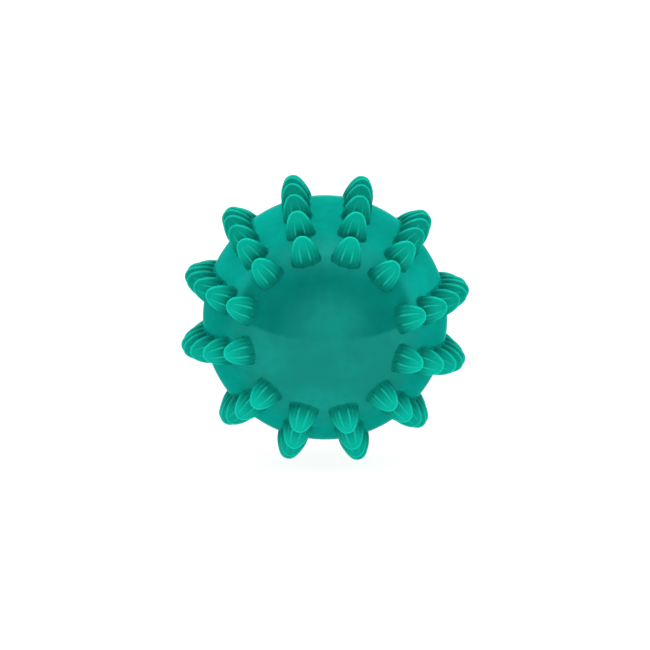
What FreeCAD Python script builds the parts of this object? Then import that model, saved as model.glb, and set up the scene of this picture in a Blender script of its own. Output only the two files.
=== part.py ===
import FreeCAD, Part
import math
import os

# Hollow massage ball covered in rows of ribbed fins, in millimetres.
#
# Frame: the origin is the ball's centre. The polar axis, from one smooth cap
# to the other, lies along Y. +Z is up. The front cap faces -Y and the rear
# cap, which holds the inflation valve, faces +Y. The ball stands on the two
# fin rows that straddle the bottom.
#
# Pieces: two moulded half shells that meet on a plane through both poles, a
# valve bush trapped between them at the rear pole, and the plug that closes
# the bush and pulls straight out.
#
# A bearing is an angle about the polar axis, measured clockwise from straight
# up as seen from the front.

# ---- the ball -----------------------------------------------------------------
BALL_RADIUS = 37.5
WALL = 3.0
INNER_RADIUS = BALL_RADIUS - WALL

# ---- one fin ------------------------------------------------------------------
FIN_HEIGHT = 7.5              # above the ball's surface
FIN_HALF_WIDTH = 4.4          # where the fin's middle meets the ball
FIN_TIP_RADIUS = 2.5
FIN_THICKNESS = 3.4           # along the polar axis, at the fin's thickest point
FIN_THICKEST_AT = 1.6         # that point's height above the ball's surface
FIN_TIP_THICKNESS = 1.3
FIN_ROOT_SPARE = 0.8          # how far the fin's root lies under the surface, at least

# ---- where the fins stand -----------------------------------------------------
PLANES_EACH_SIDE = 4          # rings of fins either side of the middle ring
OUTER_PLANE_SHARE = 0.768     # the outermost ring's distance over the ball's radius
ROWS_PER_HALF = 6             # fin rows on one half shell
SEAM_GAP_ANGLE = 33.5         # between the two rows on either side of the seam, degrees
OUTER_PLANE_Y = OUTER_PLANE_SHARE * BALL_RADIUS
PLANE_PITCH = OUTER_PLANE_Y / PLANES_EACH_SIDE
ROW_PITCH = (180.0 - SEAM_GAP_ANGLE) / (ROWS_PER_HALF - 1)
# The outermost fins stand on the steepest ground, so they need the deepest roots.
LOWEST_FOOT = math.sqrt(
    BALL_RADIUS**2 - (OUTER_PLANE_Y + FIN_THICKNESS / 2)**2 - FIN_HALF_WIDTH**2)
FIN_ROOT_DEPTH = (
    math.sqrt(BALL_RADIUS**2 - OUTER_PLANE_Y**2) - LOWEST_FOOT + FIN_ROOT_SPARE)

# ---- the domed faces of a fin --------------------------------------------------
# Each face is part of a sphere that passes through the thickest point and the tip.
TIP_RISE = FIN_HEIGHT - FIN_THICKEST_AT
TIP_THINNING = (FIN_THICKNESS - FIN_TIP_THICKNESS) / 2
FACE_DOME_RADIUS = (TIP_RISE**2 + TIP_THINNING**2) / (2 * TIP_THINNING)
FACE_DOME_SINK = FACE_DOME_RADIUS - FIN_THICKNESS / 2

# ---- the ribs on a fin's two faces --------------------------------------------
# A rib's crest is the face's own dome moved outwards and down, so that it stands
# proud at the foot and meets the face at the rib's head.
RIB_FOOT_OFFSET = 1.5         # from the fin's centre line, at the ball's surface
RIB_HEAD_OFFSET = 0.95        # from the fin's centre line, where the rib ends
RIB_LENGTH = 5.1              # above the ball's surface
RIB_FOOT_WIDTH = 0.8
RIB_HEAD_WIDTH = 0.4
RIB_FOOT_RISE = 0.35
RIB_DROP = RIB_FOOT_RISE * FACE_DOME_RADIUS / RIB_LENGTH
RIB_SPREAD = RIB_DROP * (RIB_LENGTH - FIN_THICKEST_AT) / FACE_DOME_RADIUS

# ---- the bonded seam ----------------------------------------------------------
TONGUE_WIDTH = WALL / 3
TONGUE_HEIGHT = 1.5
BOND_GAP = 0.1                # room for adhesive round the tongue
SEAM_MID_RADIUS = BALL_RADIUS - WALL / 2

# ---- the plug -----------------------------------------------------------------
PIN_RADIUS = 1.6
PIN_TIP_LENGTH = 1.2
PIN_TIP_RADIUS = 1.0
HEAD_RADIUS = PIN_RADIUS + 1.3
HEAD_THICKNESS = 1.1
HEAD_EDGE_RADIUS = 0.3
NAIL_NOTCH_RADIUS = 0.9       # lets a fingernail lift the plug's head
SURFACE_SINK = 0.25           # how far the valve lies below the pole

# ---- the bush at the rear pole -------------------------------------------------
PIN_CLEARANCE = 0.05          # between the plug's pin and the bore
HEAD_CLEARANCE = 0.3          # round the plug's head in its recess
HEAD_SEAT_GAP = 0.05          # under the plug's head
NECK_CLEARANCE = 0.05         # between the bush's neck and the hole in the shells
RECESS_RADIUS = HEAD_RADIUS + HEAD_CLEARANCE
NECK_RADIUS = RECESS_RADIUS + 0.8
FLANGE_RADIUS = NECK_RADIUS + 2.5
FLANGE_THICKNESS = 1.6
NOSE_RADIUS = PIN_RADIUS + 1.6
NOSE_LENGTH = 3.0
BOSS_RADIUS = FLANGE_RADIUS + 1.5   # thicker seat moulded inside the wall
BOSS_DEPTH = 2.5                    # how far that seat stands in from the wall

# ---- values that follow from the sizes above -----------------------------------
# With this bearing, two rows of the lower half straddle the bottom evenly.
LOWER_HALF_BEARING = 180.0 - ROW_PITCH
UPPER_HALF_BEARING = LOWER_HALF_BEARING + 180.0
BOSS_FACE_Y = INNER_RADIUS - BOSS_DEPTH
VALVE_TOP_Y = BALL_RADIUS - SURFACE_SINK
HEAD_UNDERSIDE_Y = VALVE_TOP_Y - HEAD_THICKNESS
RECESS_FLOOR_Y = HEAD_UNDERSIDE_Y - HEAD_SEAT_GAP
NOSE_END_Y = BOSS_FACE_Y - FLANGE_THICKNESS - NOSE_LENGTH

ORIGIN = FreeCAD.Vector(0, 0, 0)
X_AXIS = FreeCAD.Vector(1, 0, 0)
Y_AXIS = FreeCAD.Vector(0, 1, 0)
Z_AXIS = FreeCAD.Vector(0, 0, 1)


def polar_cylinder(radius, y_start, y_end):
    """A cylinder on the polar axis between two distances along it."""
    return Part.makeCylinder(radius, y_end - y_start, FreeCAD.Vector(0, y_start, 0), Y_AXIS)


def fin_prism():
    """The fin's outline, an arch of three arcs on a straight root, drawn out along Y.

    Height zero is the ball's surface at the middle of the fin, where the two side
    arcs start upright. They run smoothly into the small arc of the tip.
    """
    tip_centre_z = FIN_HEIGHT - FIN_TIP_RADIUS
    side_radius = (
        (FIN_HALF_WIDTH**2 + tip_centre_z**2 - FIN_TIP_RADIUS**2)
        / (2 * (FIN_HALF_WIDTH - FIN_TIP_RADIUS)))
    # The side arc's centre lies on Z = 0, on the far side of the fin.
    lean = math.atan2(tip_centre_z, side_radius - FIN_HALF_WIDTH)

    def on_side_arc(side, angle):
        """The point of a side arc at an angle above the ball's surface."""
        x = FIN_HALF_WIDTH - side_radius + side_radius * math.cos(angle)
        return FreeCAD.Vector(side * x, 0, side_radius * math.sin(angle))

    root_right = FreeCAD.Vector(FIN_HALF_WIDTH, 0, -FIN_ROOT_DEPTH)
    root_left = FreeCAD.Vector(-FIN_HALF_WIDTH, 0, -FIN_ROOT_DEPTH)
    foot_right = on_side_arc(1, 0)
    foot_left = on_side_arc(-1, 0)
    shoulder_right = on_side_arc(1, lean)
    shoulder_left = on_side_arc(-1, lean)
    wire = Part.Wire([
        Part.makeLine(root_right, foot_right),
        Part.Arc(foot_right, on_side_arc(1, lean / 2), shoulder_right).toShape(),
        Part.Arc(shoulder_right, FreeCAD.Vector(0, 0, FIN_HEIGHT), shoulder_left).toShape(),
        Part.Arc(shoulder_left, on_side_arc(-1, lean / 2), foot_left).toShape(),
        Part.makeLine(foot_left, root_left),
        Part.makeLine(root_left, root_right),
    ])
    prism = Part.Face(wire).extrude(Y_AXIS * FIN_THICKNESS)
    prism.translate(Y_AXIS * (-FIN_THICKNESS / 2))
    return prism


def dome(face, spread, drop):
    """The ball whose surface is one face of the fin, moved outwards and down."""
    centre = FreeCAD.Vector(0, face * (spread - FACE_DOME_SINK), FIN_THICKEST_AT - drop)
    return Part.makeSphere(FACE_DOME_RADIUS, centre)


def fin_rib(side, face):
    """One rib: a bar that leans in, narrows and sinks into its face upwards."""
    growth = (RIB_LENGTH + FIN_ROOT_DEPTH) / RIB_LENGTH
    foot_offset = RIB_HEAD_OFFSET + (RIB_FOOT_OFFSET - RIB_HEAD_OFFSET) * growth
    foot_half = (RIB_HEAD_WIDTH + (RIB_FOOT_WIDTH - RIB_HEAD_WIDTH) * growth) / 2
    head_half = RIB_HEAD_WIDTH / 2
    corners = [
        FreeCAD.Vector(side * foot_offset - foot_half, 0, -FIN_ROOT_DEPTH),
        FreeCAD.Vector(side * foot_offset + foot_half, 0, -FIN_ROOT_DEPTH),
        FreeCAD.Vector(side * RIB_HEAD_OFFSET + head_half, 0, RIB_LENGTH),
        FreeCAD.Vector(side * RIB_HEAD_OFFSET - head_half, 0, RIB_LENGTH),
    ]
    outline = Part.Face(Part.makePolygon(corners + corners[:1]))
    bar = outline.extrude(Y_AXIS * (face * FIN_THICKNESS))
    return bar.common(dome(face, RIB_SPREAD, RIB_DROP))


def make_fin():
    """One petal-shaped fin with two ribs on each domed face, standing on Z = 0."""
    petal = fin_prism()
    for face in (-1, 1):
        petal = petal.common(dome(face, 0, 0))
    ribs = [fin_rib(side, face) for side in (-1, 1) for face in (-1, 1)]
    return petal.multiFuse(ribs)


def place_fins():
    """Every fin of one half shell whose middle points along +Z."""
    fin = make_fin()
    fins = []
    for row in range(ROWS_PER_HALF):
        turn = (row - (ROWS_PER_HALF - 1) / 2) * ROW_PITCH
        for plane in range(-PLANES_EACH_SIDE, PLANES_EACH_SIDE + 1):
            y = plane * PLANE_PITCH
            copy = fin.copy()
            copy.translate(FreeCAD.Vector(0, y, math.sqrt(BALL_RADIUS**2 - y**2)))
            copy.rotate(ORIGIN, Y_AXIS, turn)
            fins.append(copy)
    return fins


def seam_ring(spare, height):
    """A flat ring along the seam, standing up from Z = 0, wider by the spare."""
    outer = SEAM_MID_RADIUS + TONGUE_WIDTH / 2 + spare
    inner = SEAM_MID_RADIUS - TONGUE_WIDTH / 2 - spare
    return Part.makeCylinder(outer, height).cut(Part.makeCylinder(inner, height))


def make_half_shell(has_tongue):
    """A half shell whose middle points along +Z, with its tongue or its groove."""
    solid = Part.makeSphere(BALL_RADIUS, ORIGIN, Z_AXIS, -90, 90, 180)
    solid.rotate(ORIGIN, X_AXIS, 90)
    solid = solid.multiFuse(place_fins())

    hollow = Part.makeSphere(INNER_RADIUS)
    hollow = hollow.cut(polar_cylinder(BOSS_RADIUS, BOSS_FACE_Y, BALL_RADIUS))
    shell = solid.cut(hollow)

    if has_tongue:
        tongue = seam_ring(0, TONGUE_HEIGHT)
        tongue.translate(Z_AXIS * -TONGUE_HEIGHT)
        shell = shell.fuse(tongue)
    else:
        shell = shell.cut(seam_ring(BOND_GAP, TONGUE_HEIGHT + BOND_GAP))
    return shell.cut(polar_cylinder(NECK_RADIUS + NECK_CLEARANCE, 0, BALL_RADIUS))


def turned(shape, bearing):
    """The shape turned about the polar axis from straight up to a bearing."""
    shape.rotate(ORIGIN, Y_AXIS, bearing)
    return shape


def make_valve_bush():
    """Rubber bush: neck through the wall, flange on the seat, nose and bore."""
    neck = polar_cylinder(NECK_RADIUS, BOSS_FACE_Y, VALVE_TOP_Y)
    flange = polar_cylinder(FLANGE_RADIUS, BOSS_FACE_Y - FLANGE_THICKNESS, BOSS_FACE_Y)
    nose = polar_cylinder(NOSE_RADIUS, NOSE_END_Y, BOSS_FACE_Y)
    bush = neck.multiFuse([flange, nose])
    bore = polar_cylinder(PIN_RADIUS + PIN_CLEARANCE, NOSE_END_Y, VALVE_TOP_Y)
    recess = polar_cylinder(RECESS_RADIUS, RECESS_FLOOR_Y, VALVE_TOP_Y)
    return bush.cut(bore).cut(recess)


def make_valve_plug():
    """Plug: flat round head with a nail notch, straight pin and tapered tip."""
    head = polar_cylinder(HEAD_RADIUS, HEAD_UNDERSIDE_Y, VALVE_TOP_Y)
    outer_rim = [edge for edge in head.Edges
                 if edge.BoundBox.YMin > HEAD_UNDERSIDE_Y + HEAD_THICKNESS / 2]
    head = head.makeFillet(HEAD_EDGE_RADIUS, outer_rim)
    notch_centre = FreeCAD.Vector(0, HEAD_UNDERSIDE_Y, HEAD_RADIUS)
    notch = Part.makeCylinder(NAIL_NOTCH_RADIUS, HEAD_THICKNESS, notch_centre, Y_AXIS)
    pin = polar_cylinder(PIN_RADIUS, NOSE_END_Y, HEAD_UNDERSIDE_Y)
    tip = Part.makeCone(PIN_RADIUS, PIN_TIP_RADIUS, PIN_TIP_LENGTH,
                        FreeCAD.Vector(0, NOSE_END_Y, 0), -Y_AXIS)
    return head.cut(notch).multiFuse([pin, tip])


def main():
    os.makedirs("parts", exist_ok=True)
    pieces = {
        "upper_half_shell": turned(make_half_shell(has_tongue=True), UPPER_HALF_BEARING),
        "lower_half_shell": turned(make_half_shell(has_tongue=False), LOWER_HALF_BEARING),
        "valve_bush": make_valve_bush(),
        "valve_plug": make_valve_plug(),
    }
    for name, shape in pieces.items():
        (solid,) = shape.removeSplitter().Solids
        solid.exportStep("parts/" + name + ".step")
        box = solid.BoundBox
        print(name, "valid", solid.isValid(), "volume", round(solid.Volume, 1),
              "faces", len(solid.Faces),
              "size", round(box.XLength, 2), round(box.YLength, 2), round(box.ZLength, 2))


main()
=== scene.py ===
"""The looks of a hollow massage ball: two half shells covered in ribbed fins, and a valve.

Sizes in the classes are in millimetres and repeat the design's own; meshes are made in metres.
The origin is the ball's centre, the polar axis lies along Y with the smooth front cap towards -Y
and the valve at +Y, and +Z is up. A bearing is an angle about the polar axis, clockwise from
straight up as seen from the front.
"""

import logging
import math
from dataclasses import dataclass, field
from enum import Enum
from typing import Any, Sequence, Union

import bpy
import numpy as np
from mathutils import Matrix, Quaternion, Vector

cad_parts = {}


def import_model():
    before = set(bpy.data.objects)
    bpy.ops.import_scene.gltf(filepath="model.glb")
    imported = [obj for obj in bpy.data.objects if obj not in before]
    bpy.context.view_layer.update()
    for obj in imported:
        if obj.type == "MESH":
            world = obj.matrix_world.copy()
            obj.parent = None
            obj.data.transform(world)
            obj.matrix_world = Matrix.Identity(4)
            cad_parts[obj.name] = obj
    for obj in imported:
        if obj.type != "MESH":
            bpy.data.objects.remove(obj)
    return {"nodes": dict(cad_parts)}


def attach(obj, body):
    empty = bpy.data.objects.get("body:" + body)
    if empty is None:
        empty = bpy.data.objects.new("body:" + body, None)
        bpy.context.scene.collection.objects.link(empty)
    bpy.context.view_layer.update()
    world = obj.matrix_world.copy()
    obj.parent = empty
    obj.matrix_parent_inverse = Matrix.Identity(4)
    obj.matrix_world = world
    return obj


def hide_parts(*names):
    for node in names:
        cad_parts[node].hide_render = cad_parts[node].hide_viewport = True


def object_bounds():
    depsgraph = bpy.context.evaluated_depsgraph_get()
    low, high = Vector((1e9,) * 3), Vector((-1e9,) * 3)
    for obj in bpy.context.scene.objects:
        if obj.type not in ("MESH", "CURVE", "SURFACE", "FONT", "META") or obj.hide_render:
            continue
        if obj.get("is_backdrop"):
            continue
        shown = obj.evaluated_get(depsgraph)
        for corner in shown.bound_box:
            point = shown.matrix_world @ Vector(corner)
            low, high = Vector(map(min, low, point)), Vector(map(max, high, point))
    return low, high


LOG = logging.getLogger("massage_ball")
METRES_PER_MM = 0.001
NOISE_MIDDLE = 0.5
MERGE_DECIMALS = 5
SHORTEST_TANGENT = 1e-9

Colour = tuple[float, float, float]
Span = tuple[float, float]


# ---- shader maths --------------------------------------------------------------------


class Wire:
    """A number carried by a node's output socket, with arithmetic that adds Math nodes."""

    def __init__(self, bench: "NodeBench", socket: bpy.types.NodeSocket | None) -> None:
        """Keeps the socket and the bench that its node stands on."""
        self.bench = bench
        self.socket = socket

    def sibling(self, which: Union[str, int]) -> "Wire":
        """Another output of the same node."""
        return Wire(self.bench, self.socket.node.outputs[which])

    def _math(self, operation: str, first: "Number", second: "Number") -> "Wire":
        """Adds one Math node on two numbers."""
        return self.bench.add("ShaderNodeMath", {"operation": operation}, {0: first, 1: second})

    def __add__(self, other: "Number") -> "Wire":
        """This number plus another."""
        return self._math("ADD", self, other)

    def __radd__(self, other: "Number") -> "Wire":
        """Another number plus this one."""
        return self._math("ADD", other, self)

    def __sub__(self, other: "Number") -> "Wire":
        """This number less another."""
        return self._math("SUBTRACT", self, other)

    def __rsub__(self, other: "Number") -> "Wire":
        """Another number less this one."""
        return self._math("SUBTRACT", other, self)

    def __mul__(self, other: "Number") -> "Wire":
        """This number times another."""
        return self._math("MULTIPLY", self, other)

    def __rmul__(self, other: "Number") -> "Wire":
        """Another number times this one."""
        return self._math("MULTIPLY", other, self)

    def __truediv__(self, other: "Number") -> "Wire":
        """This number over another."""
        return self._math("DIVIDE", self, other)

    def __pow__(self, other: "Number") -> "Wire":
        """This number raised to another."""
        return self._math("POWER", self, other)


Number = Union[Wire, float]


class NodeBench:
    """Adds nodes to one node tree, and joins them."""

    def __init__(self, tree: bpy.types.NodeTree) -> None:
        """Clears the tree and keeps it."""
        self.tree = tree
        tree.nodes.clear()

    def add(
        self,
        kind: str,
        settings: dict[str, Any] | None = None,
        inputs: dict[Union[str, int], Any] | None = None,
        output: Union[str, int] = 0,
    ) -> Wire:
        """Adds one node: its settings first, then what its sockets hold.

        Args:
            kind: the node's type, such as ShaderNodeMath.
            settings: the node's own properties, by name.
            inputs: for each socket, by name or number, a Wire or a plain value.
            output: the socket to hand back.

        Returns:
            The chosen output, as a Wire. An output node has none, and its Wire is empty.
        """
        node = self.tree.nodes.new(kind)
        for name, value in (settings or {}).items():
            setattr(node, name, value)
        for key, value in (inputs or {}).items():
            if isinstance(value, Wire):
                self.tree.links.new(value.socket, node.inputs[key])
            else:
                node.inputs[key].default_value = value
        return Wire(self, node.outputs[output] if len(node.outputs) else None)

    def ramp(self, value: Wire, start: float, end: float, low: float, high: float) -> Wire:
        """Eases a number from low to high as the value goes from start to end.

        Args:
            value: what decides the result.
            start: the value at and before which the result is low.
            end: the value at and after which the result is high.
            low: the result at the start.
            high: the result at the end.

        Returns:
            The eased number.
        """
        return self.add(
            "ShaderNodeMapRange",
            {"interpolation_type": "SMOOTHSTEP"},
            {"Value": value, "From Min": start, "From Max": end, "To Min": low, "To Max": high},
        )

    def blend(self, share: Wire, first: Union[Wire, Colour], second: Colour) -> Wire:
        """Mixes two colours by a share that varies over the surface.

        Args:
            share: 0 for the first colour, 1 for the second.
            first: the colour at 0.
            second: the colour at 1.

        Returns:
            The mixed colour.
        """
        low = first if isinstance(first, Wire) else (*first, 1.0)
        return self.add(
            "ShaderNodeMix",
            {"data_type": "RGBA", "clamp_factor": True},
            {"Factor": share, 6: low, 7: (*second, 1.0)},
            output=2,
        )

    def noise(self, place: Wire, size: float, detail: float) -> Wire:
        """Smooth noise whose lumps are about one size.

        Args:
            place: the coordinates it is read at.
            size: the width of a lump, in millimetres.
            detail: how many finer layers are added.

        Returns:
            The noise, which swings about NOISE_MIDDLE.
        """
        scale = 1.0 / (size * METRES_PER_MM)
        return self.add(
            "ShaderNodeTexNoise",
            None,
            {"Vector": place, "Scale": scale, "Detail": detail, "Roughness": 0.5},
        )

    def polar_place(self, place: Wire) -> Wire:
        """The number along the polar axis of a place, in metres."""
        return self.add("ShaderNodeSeparateXYZ", None, {"Vector": place}).sibling("Y")


# ---- finishes ------------------------------------------------------------------------


@dataclass(frozen=True)
class SoftPlastic:
    """Turquoise soft PVC: pigment that is never quite even, over a faintly uneven moulded face.

    The colour drifts between two tones on wide lumps and on finer specks. The roughness drifts
    too. The bump adds a slow wave and a fine grain. The colour may also rise with the distance
    from the ball's centre, as painted shade at the feet of fins and painted light at their tips,
    and rise less round the ball's middle, as painted shade on the fins there. Where a mesh
    carries the attribute "crest", a painted highlight makes its ridges paler, and they are also
    smoother.
    The coat may be stronger on the polished front cap than elsewhere.

    Sizes, depths and places are in millimetres. A range that ends in _from and _to is where an
    eased change starts and ends.
    """

    name: str
    deep: Colour
    light: Colour
    roughness: float
    roughness_drift: float
    sheen: float
    coat: float
    coat_roughness: float
    drift_size: float
    speck_size: float
    wave_size: float
    wave_depth: float
    grain_size: float
    grain_depth: float
    coat_ior: float = 2.2
    edge_tint: Colour = (0.02, 0.80, 0.70)
    speck_share: float = 0.25
    speck_shine: float = 0.04
    tone_from: float = 0.35
    tone_to: float = 0.65
    # Painted shading: the colour rises from painted shade at the feet of fins to painted light at
    # their tips, and rises less round the ball's middle, a painted shade there.
    painted_shading_from: float = 0.0
    painted_shading_to: float = 0.0
    painted_shading_share: float = 0.85
    middle_shading_share: float = 1.0
    middle_shading_reach: float = 27.0
    # The colour of a painted highlight along ridges and the rim bead, where the mesh's crest
    # attribute rises.
    crest_highlight_colour: Colour | None = None
    crest_shine: float = 0.06
    cap_polish: float = 1.0
    cap_from: float = -31.0
    cap_to: float = -20.0

    def tone(self, bench: NodeBench, place: Wire, drift: Wire, speck: Wire) -> Wire:
        """How light the pigment is, from 0 for the deep tone to 1 for the light one.

        It is the mixture of the drift and the specks, eased over the tone's range. On a piece
        with painted shading most of it is instead the distance from the ball's centre, eased over
        that range as painted shade low down and painted light high up, and then lowered towards
        the ball's middle, where the square of the place along the polar axis is small, as painted
        shade there.

        Args:
            bench: where the material's nodes are added.
            place: the coordinates on the piece.
            drift: the noise of the wide lumps.
            speck: the noise of the specks.

        Returns:
            The share of the light tone.
        """
        mixed = drift * (1.0 - self.speck_share) + speck * self.speck_share
        uneven = bench.ramp(mixed, self.tone_from, self.tone_to, 0.0, 1.0)
        if self.painted_shading_to <= self.painted_shading_from:
            return uneven
        # Painted shading: darker at the feet of fins, lighter at their tips, and darker round the
        # ball's middle.
        reach = bench.add(
            "ShaderNodeVectorMath", {"operation": "LENGTH"}, {0: place}, output="Value"
        )
        start, end = self.painted_shading_from * METRES_PER_MM, self.painted_shading_to * METRES_PER_MM
        along = bench.polar_place(place)
        middle = (self.middle_shading_reach * METRES_PER_MM) ** 2
        polar = bench.ramp(along * along, 0.0, middle, self.middle_shading_share, 1.0)
        painted_shading = bench.ramp(reach, start, end, 0.0, self.painted_shading_share) * polar
        return painted_shading + uneven * (1.0 - self.painted_shading_share)

    def material(self) -> bpy.types.Material:
        """Builds the material.

        Returns:
            The new material.
        """
        made = bpy.data.materials.new(self.name)
        made.use_nodes = True
        made.diffuse_color = (*self.light, 1.0)
        bench = NodeBench(made.node_tree)
        place = bench.add("ShaderNodeTexCoord", output="Object")
        drift = bench.noise(place, self.drift_size, detail=3.0)
        speck = bench.noise(place, self.speck_size, detail=2.0)
        shine = self.roughness + (drift - NOISE_MIDDLE) * self.roughness_drift
        shine = shine + (speck - NOISE_MIDDLE) * self.speck_shine
        colour = bench.blend(self.tone(bench, place, drift, speck), self.deep, self.light)
        # Painted highlight: the crest attribute makes ribs and the rim bead paler, and also
        # smoother.
        if self.crest_highlight_colour is not None:
            crest = bench.add("ShaderNodeAttribute", {"attribute_name": "crest"}, output="Fac")
            colour = bench.blend(crest, colour, self.crest_highlight_colour)
            shine = shine - crest * self.crest_shine
        coat: Number = self.coat
        if self.cap_polish < 1.0:
            start, end = self.cap_from * METRES_PER_MM, self.cap_to * METRES_PER_MM
            faded = self.coat * self.cap_polish
            coat = bench.ramp(bench.polar_place(place), start, end, self.coat, faded)
        wave = bench.noise(place, self.wave_size, detail=1.0)
        grain = bench.noise(place, self.grain_size, detail=2.0)
        surface = wave * self.wave_depth + grain * self.grain_depth
        bump = bench.add(
            "ShaderNodeBump",
            None,
            {"Height": surface, "Strength": 1.0, "Distance": METRES_PER_MM},
        )
        shader = bench.add(
            "ShaderNodeBsdfPrincipled",
            None,
            {
                "Base Color": colour,
                "Roughness": shine,
                "Normal": bump,
                "Metallic": self.sheen,
                "Specular IOR Level": 0.0,
                "Specular Tint": (*self.edge_tint, 1.0),
                "Coat Weight": coat,
                "Coat IOR": self.coat_ior,
                "Coat Roughness": self.coat_roughness,
            },
        )
        bench.add("ShaderNodeOutputMaterial", None, {"Surface": shader})
        return made


BODY_FINISH = SoftPlastic(
    name="body_gloss",
    deep=(0.0004, 0.258, 0.206),
    light=(0.0008, 0.324, 0.264),
    roughness=0.10,
    roughness_drift=0.03,
    sheen=0.25,
    coat=0.045,
    coat_roughness=0.10,
    cap_polish=0.12,
    drift_size=22.0,
    speck_size=3.0,
    wave_size=14.0,
    wave_depth=0.012,
    grain_size=0.35,
    grain_depth=0.0015,
)

# The fins' colour is mostly painted light and shade on the body's plastic: painted shade darkens
# their feet and the fins round the ball's middle, painted light makes their tips lighter than the
# body, and a paler painted highlight runs along the ribs and the rim bead.
FIN_FINISH = SoftPlastic(
    name="fin_satin",
    deep=(0.0004, 0.180, 0.138),
    light=(0.0008, 0.560, 0.410),
    roughness=0.26,
    roughness_drift=0.06,
    sheen=0.24,
    coat=0.012,
    coat_roughness=0.20,
    painted_shading_from=37.6,
    painted_shading_to=43.2,
    middle_shading_share=0.50,
    crest_highlight_colour=(0.0150, 0.720, 0.575),
    drift_size=9.0,
    speck_size=1.2,
    wave_size=3.0,
    wave_depth=0.008,
    grain_size=0.25,
    grain_depth=0.002,
)

BUSH_FINISH = SoftPlastic(
    name="valve_bush_matt",
    deep=(0.0005, 0.380, 0.300),
    light=(0.0010, 0.420, 0.335),
    roughness=0.62,
    roughness_drift=0.10,
    sheen=0.0,
    coat=0.04,
    coat_roughness=0.45,
    drift_size=2.5,
    speck_size=0.5,
    wave_size=1.6,
    wave_depth=0.010,
    grain_size=0.18,
    grain_depth=0.006,
)

PLUG_FINISH = SoftPlastic(
    name="valve_plug_semi_gloss",
    deep=(0.0005, 0.440, 0.355),
    light=(0.0010, 0.490, 0.400),
    roughness=0.32,
    roughness_drift=0.08,
    sheen=0.08,
    coat=0.10,
    coat_roughness=0.15,
    drift_size=2.0,
    speck_size=0.4,
    wave_size=1.5,
    wave_depth=0.006,
    grain_size=0.15,
    grain_depth=0.002,
)


# ---- meshes from grids of points --------------------------------------------------------


def grid_quads(rows: int, columns: int, closed: bool) -> np.ndarray:
    """Numbers the four corners of every cell of a grid of points.

    The point in row i and column j has number i times the columns plus j. Each cell joins a
    point to its neighbours in the next row and the next column.

    Args:
        rows: how many rows of points there are.
        columns: how many points a row has.
        closed: whether each row's last point joins its first.

    Returns:
        An array of shape (cells, 4).
    """
    last = columns if closed else columns - 1
    i, j = np.meshgrid(np.arange(rows - 1), np.arange(last), indexing="ij")
    k = (j + 1) % columns
    this_row, next_row = i * columns, (i + 1) * columns
    cells = np.stack([this_row + j, this_row + k, next_row + k, next_row + j])
    return cells.reshape(4, -1).T


def strip_quads(first: np.ndarray, second: np.ndarray) -> np.ndarray:
    """Numbers the corners of the strip between two equally long lines of points.

    Args:
        first: the numbers of the points along one side.
        second: the numbers of the points along the other side.

    Returns:
        An array of shape (cells, 4).
    """
    return np.stack([first[:-1], first[1:], second[1:], second[:-1]], axis=1)


def signed_volume(points: np.ndarray, quads: np.ndarray) -> float:
    """Sums the signed volumes of the pyramids from the origin to each face.

    A face is split into two triangles. A pyramid's volume is a sixth of the product of its
    first corner with the cross product of the other two.

    Args:
        points: the corners, of shape (points, 3).
        quads: the faces, of shape (faces, 4).

    Returns:
        The volume, positive where the faces look outwards.
    """
    a, b, c, d = (points[quads[:, n]] for n in range(4))
    triple = np.einsum("ij,ij->i", a, np.cross(b, c)) + np.einsum("ij,ij->i", a, np.cross(c, d))
    return float(triple.sum() / 6.0)


def closed_mesh(
    name: str,
    points: np.ndarray,
    quads: np.ndarray,
    finish: bpy.types.Material,
    sharp: float,
    crest: np.ndarray | None = None,
) -> bpy.types.Object:
    """Makes a smooth closed piece from faces whose corners may coincide.

    Points that coincide become one, faces that shrink to a line are left out, and faces that
    shrink to a triangle become one.

    Args:
        name: the piece's name.
        points: the corners in millimetres, of shape (points, 3).
        quads: the faces, of shape (faces, 4).
        finish: the piece's material.
        sharp: the angle between two faces, in degrees, from which their edge stays sharp.
        crest: how far each point lies on a ridge, from 0 to 1, where the piece has ridges; it
            sets the share of the painted highlight there.

    Returns:
        The new object, with its place in its mesh.
    """
    rounded = np.round(points, MERGE_DECIMALS) + 0.0
    unique, firsts, numbers = np.unique(rounded, axis=0, return_index=True, return_inverse=True)
    faces = numbers.reshape(-1)[quads]
    if signed_volume(unique, faces) < 0.0:
        faces = faces[:, ::-1]
    repeats = faces == np.roll(faces, -1, axis=1)
    lost = repeats.sum(axis=1)
    opposite = (faces[:, 0] == faces[:, 2]) | (faces[:, 1] == faces[:, 3])
    whole = faces[(lost == 0) & ~opposite]
    pinched = (lost == 1) & ~opposite
    triangles = faces[pinched][~repeats[pinched]].reshape(-1, 3)

    mesh = bpy.data.meshes.new(name)
    mesh.from_pydata((unique * METRES_PER_MM).tolist(), [], whole.tolist() + triangles.tolist())
    mesh.materials.append(finish)
    mesh.polygons.foreach_set("use_smooth", np.ones(len(mesh.polygons), bool))
    mesh.set_sharp_from_angle(angle=math.radians(sharp))
    mesh.update()
    if crest is not None:
        layer = mesh.attributes.new("crest", "FLOAT", "POINT")
        layer.data.foreach_set("value", crest[firsts].astype(np.float32))
    piece = bpy.data.objects.new(name, mesh)
    bpy.context.scene.collection.objects.link(piece)
    LOG.info("%s: %d points, %d faces", name, len(mesh.vertices), len(mesh.polygons))
    return piece


def bell(value: np.ndarray, middle: float, spread: float) -> np.ndarray:
    """A bell curve: e to the minus square of the distance from the middle over the spread."""
    return np.exp(-(((value - middle) / spread) ** 2))


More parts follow.
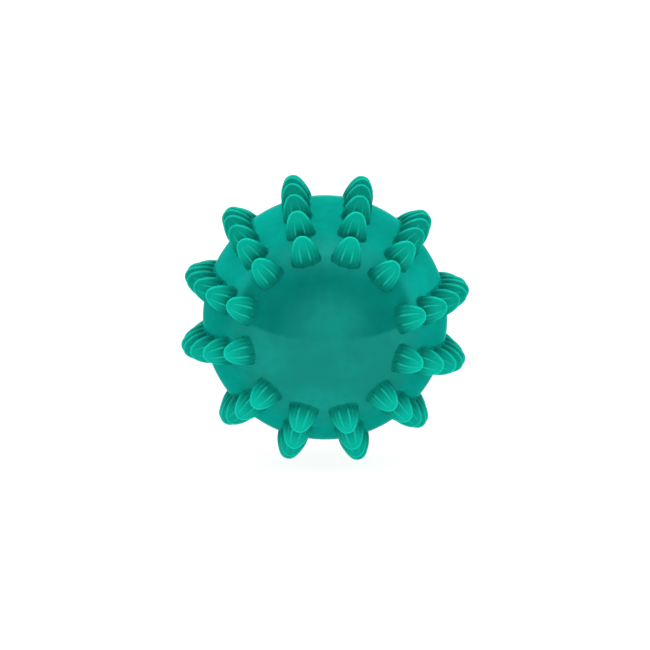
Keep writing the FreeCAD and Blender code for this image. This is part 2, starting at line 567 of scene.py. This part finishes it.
def turned(points: np.ndarray, bearing: np.ndarray | float) -> np.ndarray:
    """Turns points about the polar axis from straight up to a bearing.

    X becomes X cos(bearing) + Z sin(bearing), and Z becomes Z cos(bearing) - X sin(bearing).

    Args:
        points: an array whose last axis is X, Y, Z.
        bearing: in degrees; one angle, or an array that fits the points' other axes.

    Returns:
        The turned points.
    """
    angle = np.radians(bearing)
    x, y, z = np.moveaxis(points, -1, 0)
    return np.stack(
        [x * np.cos(angle) + z * np.sin(angle), y, z * np.cos(angle) - x * np.sin(angle)], axis=-1
    )


# ---- the ball ------------------------------------------------------------------------


class Half(Enum):
    """The two half shells, by the bearing of each one's middle in degrees."""

    UPPER = 330.7
    LOWER = 150.7

    @property
    def label(self) -> str:
        """The half's name in lower case."""
        return self.name.lower()

    @property
    def node(self) -> str:
        """The design's node that this half's pieces stand for."""
        return f"{self.label}_half_shell"


@dataclass(frozen=True)
class Rib:
    """One raised line on each side of a fin's middle, on both of its faces.

    Its place and spread are shares of the fin's half width, its top is a share of the fin's
    height, and its rise is in millimetres.
    """

    share: float
    rise: float
    spread: float
    top: float


@dataclass(frozen=True)
class Fin:
    """A petal-shaped fin: an arch of three arcs with domed faces, ribs and rounded edges."""

    height: float = 7.5
    half_width: float = 4.4
    tip_radius: float = 2.9
    thickness: float = 3.4
    thickest_at: float = 1.6
    tip_thickness: float = 1.3
    edge_radius: float = 0.45
    side_taper: float = 0.55
    tip_taper: float = 0.2
    bead_rise: float = 0.13
    bead_inset: float = 0.32
    bead_spread: float = 0.15
    bead_crest: float = 0.85
    crest_start: float = 0.05
    foot_height: float = 0.6
    foot_reach: float = 0.3
    root_depth: float = 0.4
    ribs: tuple[Rib, ...] = (
        Rib(share=0.33, rise=0.28, spread=0.050, top=0.82),
        Rib(share=0.62, rise=0.06, spread=0.050, top=0.66),
        Rib(share=0.85, rise=0.03, spread=0.045, top=0.52),
    )

    @property
    def tip_centre(self) -> float:
        """The height of the tip arc's centre."""
        return self.height - self.tip_radius

    @property
    def side_radius(self) -> float:
        """The radius of the two side arcs, which start upright and run into the tip arc."""
        gain = self.half_width**2 + self.tip_centre**2 - self.tip_radius**2
        return gain / (2.0 * (self.half_width - self.tip_radius))

    @property
    def lean(self) -> float:
        """The angle, from level, of the line through the arcs' centres and their joint."""
        return math.atan2(self.tip_centre, self.side_radius - self.half_width)

    @property
    def dome_radius(self) -> float:
        """The radius of each domed face, through its thickest point and the tip."""
        rise = self.height - self.thickest_at
        thinning = (self.thickness - self.tip_thickness) / 2.0
        return (rise**2 + thinning**2) / (2.0 * thinning)

    def width_at(self, height: np.ndarray) -> np.ndarray:
        """Half the fin's width at a height.

        Below the shoulder it is the side arc's, the arc's centre plus the square root of its
        radius squared less the height squared. Above, it is the tip arc's. Under the ball's
        surface it stays as it is at the foot.

        Args:
            height: above the ball's surface at the fin's middle.

        Returns:
            The half width, of the same shape.
        """
        h = np.clip(height, 0.0, self.height)
        side = self.half_width - self.side_radius + np.sqrt(self.side_radius**2 - h**2)
        tip = np.sqrt(np.maximum(self.tip_radius**2 - (h - self.tip_centre) ** 2, 0.0))
        shoulder = self.side_radius * math.sin(self.lean)
        return np.where(h < shoulder, side, tip)

    def edge_distance(self, across: np.ndarray, height: np.ndarray) -> np.ndarray:
        """How far inside the arch's outline a point lies.

        In the sector above the tip arc's centre it is that arc's radius less the distance from
        its centre. Elsewhere it is the same for the nearer side arc.

        Args:
            across: the distance from the fin's middle line.
            height: above the ball's surface.

        Returns:
            The distance, never negative.
        """
        u, h = np.abs(across), np.maximum(height, 0.0)
        side = self.side_radius - np.hypot(u + self.side_radius - self.half_width, h)
        above = h - self.tip_centre
        tip = self.tip_radius - np.hypot(u, above)
        in_sector = above * math.cos(self.lean) > u * math.sin(self.lean)
        return np.maximum(np.where(in_sector, tip, side), 0.0)

    def half_thickness(
        self, across: np.ndarray, height: np.ndarray, share: np.ndarray
    ) -> np.ndarray:
        """Half the fin's thickness at a point of its outline.

        It is the height of the face's dome, less a taper that grows as the cube of the share
        across and as the fourth power of the share climbed, less a quarter circle's fall within
        one edge radius of the outline. Each rib adds its rise times a bell curve of the share
        across, fading to nothing at the rib's top and at the outline. A fine bead, a bell curve
        of the distance from the outline, follows the edge.

        Args:
            across: the distance from the fin's middle line.
            height: above the ball's surface.
            share: the distance across over the half width there.

        Returns:
            The half thickness.
        """
        radius = self.dome_radius
        reach = radius**2 - (height - self.thickest_at) ** 2 - across**2
        dome = np.sqrt(reach) - (radius - self.thickness / 2.0)
        climbed = np.clip(height / self.height, 0.0, 1.0)
        taper = self.side_taper * np.abs(share) ** 3 * (1.0 - climbed)
        taper = taper + self.tip_taper * climbed**4
        distance = self.edge_distance(across, height)
        short = self.edge_radius - np.minimum(distance, self.edge_radius)
        fall = self.edge_radius - np.sqrt(self.edge_radius**2 - short**2)
        inside = np.clip(distance / (2.0 * self.edge_radius), 0.0, 1.0)
        ridge = np.zeros_like(across)
        for rib in self.ribs:
            left = np.clip(1.0 - np.maximum(height, 0.0) / (rib.top * self.height), 0.0, 1.0)
            swell = rib.rise * bell(np.abs(share), rib.share, rib.spread)
            ridge += swell * np.sqrt(left) * inside
        bead = self.bead_rise * bell(distance, self.bead_inset, self.bead_spread)
        return dome - taper - fall + ridge + bead

    def crest(self, across: np.ndarray, height: np.ndarray, share: np.ndarray) -> np.ndarray:
        """How far a point lies on a rib or on the bead along the outline, from 0 to 1.

        It is the largest of each rib's bell curve, weighted by the rib's rise over the highest
        rib's, starting just above the foot and fading with the climb, and of the bead's bell
        curve times the share climbed. It sets the share of the painted highlight there.

        Args:
            across: the distance from the fin's middle line.
            height: above the ball's surface.
            share: the distance across over the half width there.

        Returns:
            The amount.
        """
        distance = self.edge_distance(across, height)
        climbed = np.clip(height / self.height, 0.0, 1.0)
        amount = self.bead_crest * bell(distance, self.bead_inset, self.bead_spread) * climbed
        highest = max(rib.rise for rib in self.ribs)
        start = np.clip(climbed / self.crest_start, 0.0, 1.0)
        for rib in self.ribs:
            fade = np.sqrt(np.clip(1.0 - climbed / rib.top, 0.0, 1.0))
            ridge = bell(np.abs(share), rib.share, rib.spread) * fade * start
            amount = np.maximum(amount, ridge * rib.rise / highest)
        return amount

    def columns(self) -> np.ndarray:
        """Where the grid's columns stand, as shares of the half width.

        They are crowded at the strong rib and at the edges.

        Returns:
            The shares from -1 to 1.
        """
        inner = [0.12, 0.22, 0.27, 0.30, 0.33, 0.36, 0.40, 0.52]
        outer = [0.62, 0.72, 0.80, 0.87, 0.92, 0.96, 0.99, 1.0]
        right = np.array(inner + outer)
        return np.concatenate([-right[::-1], [0.0], right])

    def climbs(self) -> tuple[np.ndarray, np.ndarray]:
        """The heights of the grid's rows.

        Returns:
            First the rows near the foot, as heights above the ball's surface below each point,
            then the rows above them, as shares of the way up to the tip.
        """
        near = np.array([-self.root_depth, 0.0, 0.07, 0.2, 0.38, self.foot_height])
        share = np.array([0.1, 0.22, 0.35, 0.47, 0.58, 0.68, 0.77, 0.85, 0.92, 0.965, 0.99, 1.0])
        return near, share


@dataclass(frozen=True)
class HalfShell:
    """One half of the ball's wall with its six rows of nine fins.

    The row's pitch and the angles from which an edge stays sharp are in degrees. The seam's
    width is an angle too, from the seam about the polar axis.
    """

    half: Half
    radius: float = 37.5
    wall: float = 3.0
    fin: Fin = field(default_factory=Fin)
    planes_each_side: int = 4
    plane_pitch: float = 7.2
    rows: int = 6
    row_pitch: float = 29.3
    seam_drop: float = 0.05
    seam_width: float = 0.3
    cap_share: float = 0.25
    hole_radius: float = 4.05
    boss_radius: float = 8.0
    boss_depth: float = 2.5
    profile_points: int = 97
    slack: float = 0.008
    fin_sharp: float = 70.0
    skin_sharp: float = 45.0

    def surface_height(
        self, plane: np.ndarray, across: np.ndarray, along: np.ndarray
    ) -> np.ndarray:
        """The ball's surface beside a fin, measured from the surface at the fin's middle.

        It is the square root of the radius squared less the squares of the distances along and
        across, less the same at the fin's middle.

        Args:
            plane: the fin's distance along the polar axis.
            across: the distance from the fin's middle line.
            along: the distance from the fin's plane, along the polar axis.

        Returns:
            The height in the fin's own frame.
        """
        middle = np.sqrt(self.radius**2 - plane**2)
        return np.sqrt(self.radius**2 - (plane + along) ** 2 - across**2) - middle

    def fin_rings(self, plane: np.ndarray) -> tuple[np.ndarray, np.ndarray]:
        """Every fin of the half in its own frame, as rings of points round it from root to tip.

        A ring runs over the front face and back over the rear one. The lowest rings follow the
        ball's surface and spread outwards by the foot's reach times the square of what is left
        of the foot's height. The others climb evenly from there to the tip.

        Args:
            plane: each fin's distance along the polar axis, of shape (fins, 1, 1).

        Returns:
            The points, of shape (fins, rings, points in a ring, 3), and each one's crest.
        """
        fin = self.fin
        columns = fin.columns()
        share = np.concatenate([columns, columns[::-1]])[None, None, :]
        side = np.concatenate([-np.ones_like(columns), np.ones_like(columns)])[None, None, :]
        near, climb = fin.climbs()

        foot_across = share * fin.half_width
        zero = np.zeros_like(foot_across)
        foot_along = side * fin.half_thickness(foot_across, zero, share)
        foot = self.surface_height(plane, foot_across, foot_along)
        low = foot + near[None, :, None]
        start = foot + fin.foot_height
        high = start + (fin.height - start) * climb[None, :, None]
        height = np.concatenate([low, high], axis=1)

        across = share * fin.width_at(height)
        along = side * fin.half_thickness(across, height, share)
        tangent_x = np.roll(across, -1, axis=2) - np.roll(across, 1, axis=2)
        tangent_y = np.roll(along, -1, axis=2) - np.roll(along, 1, axis=2)
        length = np.maximum(np.hypot(tangent_x, tangent_y), SHORTEST_TANGENT)
        left = np.clip(1.0 - near / fin.foot_height, 0.0, 1.0) ** 2
        above = np.zeros(len(climb))
        reach = np.concatenate([left, above])[None, :, None] * fin.foot_reach
        across = across + tangent_y / length * reach
        along = along - tangent_x / length * reach
        crest = fin.crest(across, height, share)
        lift = np.concatenate([near, above])[None, :, None]
        settled = self.surface_height(plane, across, along) + lift
        is_low = (np.arange(height.shape[1]) < len(near))[None, :, None]
        height = np.where(is_low, settled, height)
        return np.stack([across, along, height], axis=-1), crest

    def fins(self, finish: bpy.types.Material) -> bpy.types.Object:
        """Makes the half's fins as one piece.

        Each fin leans by a small amount of its own, as soft mouldings do: its points move
        sideways by a share of their height.

        Args:
            finish: the fins' material.

        Returns:
            The new piece.
        """
        steps = np.arange(-self.planes_each_side, self.planes_each_side + 1) * self.plane_pitch
        turns = (np.arange(self.rows) - (self.rows - 1) / 2.0) * self.row_pitch
        plane, turn = (a.reshape(-1, 1, 1) for a in np.meshgrid(steps, turns, indexing="ij"))
        rings, crest = self.fin_rings(plane)

        chance = np.random.default_rng(int(self.half.value))
        leans = chance.normal(0.0, self.slack, (2, len(plane), 1, 1))
        lifted = np.maximum(rings[..., 2], 0.0)
        base = np.sqrt(self.radius**2 - plane**2)
        placed = np.stack(
            [
                rings[..., 0] + leans[0] * lifted,
                rings[..., 1] + leans[1] * lifted + plane,
                rings[..., 2] + base,
            ],
            axis=-1,
        )
        points = turned(placed, self.half.value + turn)

        count, layers, around, _ = points.shape
        columns = around // 2
        walls = grid_quads(layers, around, closed=True)
        numbers = np.arange(columns)
        root = strip_quads(numbers[::-1], around - 1 - numbers[::-1])
        one = np.concatenate([walls, root])
        offsets = (np.arange(count) * layers * around)[:, None, None]
        quads = (one[None] + offsets).reshape(-1, 4)
        name = f"{self.half.label}_half_fins"
        flat = points.reshape(-1, 3)
        return closed_mesh(name, flat, quads, finish, self.fin_sharp, crest.reshape(-1))

    def wall_profile(self) -> tuple[np.ndarray, np.ndarray]:
        """The wall's outer and inner lines from the front pole to the valve's hole.

        Both are pairs of a distance from the polar axis and a distance along it. The outer line
        is an arc of the ball's radius. The inner one is an arc of the inner radius, then the
        side and the face of the boss round the hole.

        Returns:
            Two arrays of shape (points, 2), of equal length.
        """
        last = math.pi - math.asin(self.hole_radius / self.radius)
        angle = np.linspace(0.0, last, self.profile_points)
        outer = self.radius * np.stack([np.sin(angle), -np.cos(angle)], axis=1)

        inner_radius = self.radius - self.wall
        face = inner_radius - self.boss_depth
        boss = np.array([[self.boss_radius, face], [self.hole_radius, face]])
        boss_angle = math.pi - math.asin(self.boss_radius / inner_radius)
        inner_angle = np.linspace(0.0, boss_angle, self.profile_points - len(boss))
        arc = inner_radius * np.stack([np.sin(inner_angle), -np.cos(inner_angle)], axis=1)
        return outer, np.concatenate([arc, boss])

    def skin(self, finish: bpy.types.Material) -> bpy.types.Object:
        """Makes the half's wall, turning its profile half way round the polar axis.

        The outer surface falls by the seam's drop next to the seam, so that the joint shows as
        a hairline: the drop times the square of what is left of the seam's width. On the
        polished front cap there is no drop. It grows in proportion to the distance behind the
        cap, and is at its full depth from a little behind the ball's middle.

        Args:
            finish: the wall's material.

        Returns:
            The new piece.
        """
        outer, inner = self.wall_profile()
        loop = np.concatenate([outer, inner[::-1]])
        first, last = [0.0, 0.12, 0.3, 0.6], [179.4, 179.7, 179.88, 180.0]
        sweep = np.concatenate([first, np.linspace(2.0, 178.0, 89), last])
        from_seam = np.minimum(sweep, 180.0 - sweep)
        fall = self.seam_drop * np.clip(1.0 - from_seam / self.seam_width, 0.0, 1.0) ** 2
        is_outer = np.arange(len(loop)) < len(outer)
        from_front = (loop[:, 1] + self.radius) / self.radius
        past_cap = np.clip(from_front - self.cap_share, 0.0, 1.0)
        shrink = 1.0 - fall[:, None] * (is_outer * past_cap)[None, :] / self.radius
        angle = np.radians(sweep - 90.0)[:, None]
        points = np.stack(
            [
                loop[None, :, 0] * np.sin(angle) * shrink,
                loop[None, :, 1] * shrink,
                loop[None, :, 0] * np.cos(angle) * shrink,
            ],
            axis=-1,
        )
        points = turned(points, self.half.value)
        turns, around, _ = points.shape
        walls = grid_quads(turns, around, closed=True)
        line = np.arange(len(outer))
        start = strip_quads(line[::-1], around - 1 - line[::-1])
        end = strip_quads(line, around - 1 - line) + (turns - 1) * around
        quads = np.concatenate([walls, start, end])
        name = f"{self.half.label}_half_skin"
        return closed_mesh(name, points.reshape(-1, 3), quads, finish, self.skin_sharp)

    def build(self, body: bpy.types.Material, petal: bpy.types.Material) -> None:
        """Makes the half's two pieces, ties them to the ball's body and hides the design's node.

        Args:
            body: the smooth wall's material.
            petal: the fins' material.
        """
        for piece in (self.skin(body), self.fins(petal)):
            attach(piece, "ball")
            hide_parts(self.half.node)


@dataclass(frozen=True)
class Valve:
    """The bush at the rear pole and its plug, whose design shapes are shown as they are."""

    bush: SoftPlastic = BUSH_FINISH
    plug: SoftPlastic = PLUG_FINISH

    def dress(self, nodes: dict[str, bpy.types.Object]) -> None:
        """Gives the two design nodes their finishes.

        Args:
            nodes: the design's objects by name.
        """
        for name, finish in (("valve_bush", self.bush), ("valve_plug", self.plug)):
            material = finish.material()
            for place in nodes[name].material_slots:
                place.material = material
            faces = len(nodes[name].data.polygons)
            LOG.info("%s: %d faces, finished as %s", name, faces, material.name)


# ---- the studio ----------------------------------------------------------------------


@dataclass(frozen=True)
class Studio:
    """A pale table, an even bright surround that is dim only in front, and a long lens.

    Lengths are in metres, but the lens and the sensor are in millimetres. Angles are in
    degrees. A span is where an eased change starts and ends.
    """

    floor_height: float
    floor_size: float = 40.0
    floor_front: float = 0.25
    floor_colour: Colour = (0.20, 0.20, 0.20)
    floor_roughness: float = 0.9
    floor_glow: float = 0.91
    surround: float = 2.08
    rear_share: float = 0.78
    rear_span: Span = (0.35, 0.90)
    front_dim: float = 0.22
    patch_half_width: float = 1.10
    patch_half_height: float = 0.72
    patch_middle: float = 0.10
    patch_span: Span = (0.78, 1.60)
    patch_side_span: Span = (-0.10, 0.16)
    front_fill: float = 0.82
    fill_tilt: float = -5.0
    fill_span: Span = (0.62, 0.99)
    camera_tilt: float = 10.7
    camera_roll: float = 0.9
    camera_distance: float = 5.0
    camera_lens: float = 903.0
    camera_sensor: float = 36.0
    camera_clip: Span = (0.1, 100.0)
    aim: tuple[float, float, float] = (0.0, 0.0, -0.0024)

    def lay_floor(self) -> None:
        """Lays the pale table that the ball stands on, whose edge is a hand's length in front."""
        half, front = self.floor_size / 2.0, -self.floor_front
        outline = [(-half, front), (half, front), (half, half), (-half, half)]
        mesh = bpy.data.meshes.new("studio_floor")
        mesh.from_pydata([(x, y, self.floor_height) for x, y in outline], [], [(0, 1, 2, 3)])
        material = bpy.data.materials.new("floor_white")
        material.use_nodes = True
        bench = NodeBench(material.node_tree)
        shader = bench.add(
            "ShaderNodeBsdfPrincipled",
            None,
            {
                "Base Color": (*self.floor_colour, 1.0),
                "Roughness": self.floor_roughness,
                "Specular IOR Level": 0.0,
                "Emission Color": (1.0, 1.0, 1.0, 1.0),
                "Emission Strength": self.floor_glow,
            },
        )
        bench.add("ShaderNodeOutputMaterial", None, {"Surface": shader})
        mesh.materials.append(material)
        floor = bpy.data.objects.new("studio_floor", mesh)
        bpy.context.scene.collection.objects.link(floor)
        floor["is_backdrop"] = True

    def light(self) -> None:
        """Lights the ball from a bright surround with a dim patch in front of the ball.

        The patch is an ellipse of directions with soft edges: the squares of a direction's
        parts sideways and upwards from the patch's middle, each over the patch's half size,
        added up. It reaches from side to side and from under the table's edge to just short of
        overhead, and it ends beside the ball. A fill glows in it, just below the level of the
        ball. The surround is also weaker straight behind the ball. What the lens sees past the
        table is plain white from every side.
        """
        world = bpy.data.worlds.new("studio_surround")
        bpy.context.scene.world = world
        world.use_nodes = True
        bench = NodeBench(world.node_tree)
        direction = bench.add("ShaderNodeTexCoord", output="Generated")
        x = bench.add("ShaderNodeSeparateXYZ", None, {"Vector": direction})
        y, z = x.sibling("Y"), x.sibling("Z")
        sideways = x / self.patch_half_width
        upwards = (z - self.patch_middle) / self.patch_half_height
        ellipse = sideways**2.0 + upwards**2.0
        in_front = bench.ramp(y, *self.patch_side_span, 1.0, 0.0)
        patch = bench.ramp(ellipse, *self.patch_span, 1.0, 0.0) * in_front
        tilt = math.radians(self.fill_tilt)
        towards_fill = z * math.sin(tilt) - y * math.cos(tilt)
        fill = bench.ramp(towards_fill, *self.fill_span, 0.0, self.front_fill)
        rear = self.surround * self.rear_share
        around = bench.ramp(y, *self.rear_span, self.surround, rear)
        strength = around - patch * (around - self.front_dim - fill)
        seen = bench.add("ShaderNodeLightPath", output="Is Camera Ray")
        strength = strength + seen * (self.surround - strength)
        background = bench.add(
            "ShaderNodeBackground", None, {"Color": (1.0, 1.0, 1.0, 1.0), "Strength": strength}
        )
        bench.add("ShaderNodeOutputWorld", None, {"Surface": background})

    def place_camera(self) -> None:
        """Places the camera in front of the ball and a little above it, rolled very slightly."""
        tilt = math.radians(self.camera_tilt)
        back = Vector((0.0, -math.cos(tilt), math.sin(tilt)))
        data = bpy.data.cameras.new("studio_camera")
        data.lens = self.camera_lens
        data.sensor_width = self.camera_sensor
        data.clip_start, data.clip_end = self.camera_clip
        camera = bpy.data.objects.new("studio_camera", data)
        camera.location = Vector(self.aim) + back * self.camera_distance
        camera.rotation_mode = "QUATERNION"
        roll = Quaternion((0.0, 0.0, 1.0), math.radians(self.camera_roll))
        camera.rotation_quaternion = (-back).to_track_quat("-Z", "Y") @ roll
        bpy.context.scene.collection.objects.link(camera)
        bpy.context.scene.camera = camera

    def set_up(self) -> None:
        """Lays the floor, sets the lights and the camera, and shows colours as they are."""
        self.lay_floor()
        self.light()
        self.place_camera()
        bpy.context.scene.view_settings.view_transform = "Standard"


def corners(box: Sequence[Vector]) -> list[list[float]]:
    """A box's lowest and highest corners as plain lists."""
    return [[float(v) for v in corner] for corner in box]


def main() -> None:
    """Builds the ball's looks round the design, piece by piece, and sets the studio."""
    logging.basicConfig(level=logging.INFO, format="%(message)s")
    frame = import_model()
    design_box = corners(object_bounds())

    body, petal = BODY_FINISH.material(), FIN_FINISH.material()
    for half in Half:
        HalfShell(half).build(body, petal)
    Valve().dress(frame["nodes"])
    Studio(floor_height=design_box[0][2]).set_up()


if __name__ == "__main__":
    main()
